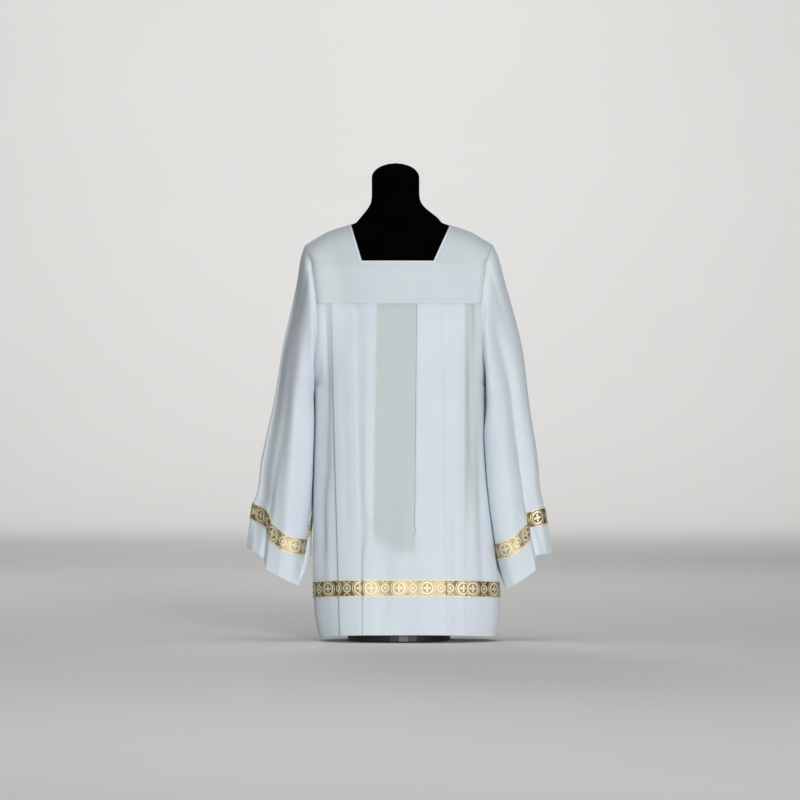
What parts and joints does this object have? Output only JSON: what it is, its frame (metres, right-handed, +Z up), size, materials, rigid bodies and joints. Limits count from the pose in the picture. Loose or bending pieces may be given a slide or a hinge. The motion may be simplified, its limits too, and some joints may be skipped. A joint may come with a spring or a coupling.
{
  "type": "surplice on a limbless dress form",
  "caption": "White surplice with a square neck, pleated front and back, wide sleeves and gold braid, worn by a black limbless dress form on a round base.",
  "frame": {"origin": "centre of the underside of the form's round base", "axes": "+Z up along the form's post, -Y towards the garment's front, +X to the right of a viewer who faces the front"},
  "size_m": [0.704, 0.2719, 1.098],
  "materials": {
    "white_cloth": "satin",
    "gold_braid": "satin",
    "black_form": "matte",
    "black_stand": "satin"
  },
  "bodies": {
    "root": {"front_panel": "white_cloth", "back_panel": "white_cloth", "chest_band": "white_cloth", "back_band": "white_cloth", "shoulder_left": "white_cloth", "shoulder_right": "white_cloth", "neck_binding": "white_cloth", "sleeve_left": "white_cloth", "sleeve_right": "white_cloth", "hem_braid_front": "gold_braid", "hem_braid_back": "gold_braid", "sleeve_braid_left": "gold_braid", "sleeve_braid_right": "gold_braid", "form_torso": "black_form", "form_post": "black_stand", "form_base": "black_stand"}
  },
  "joints": []
}
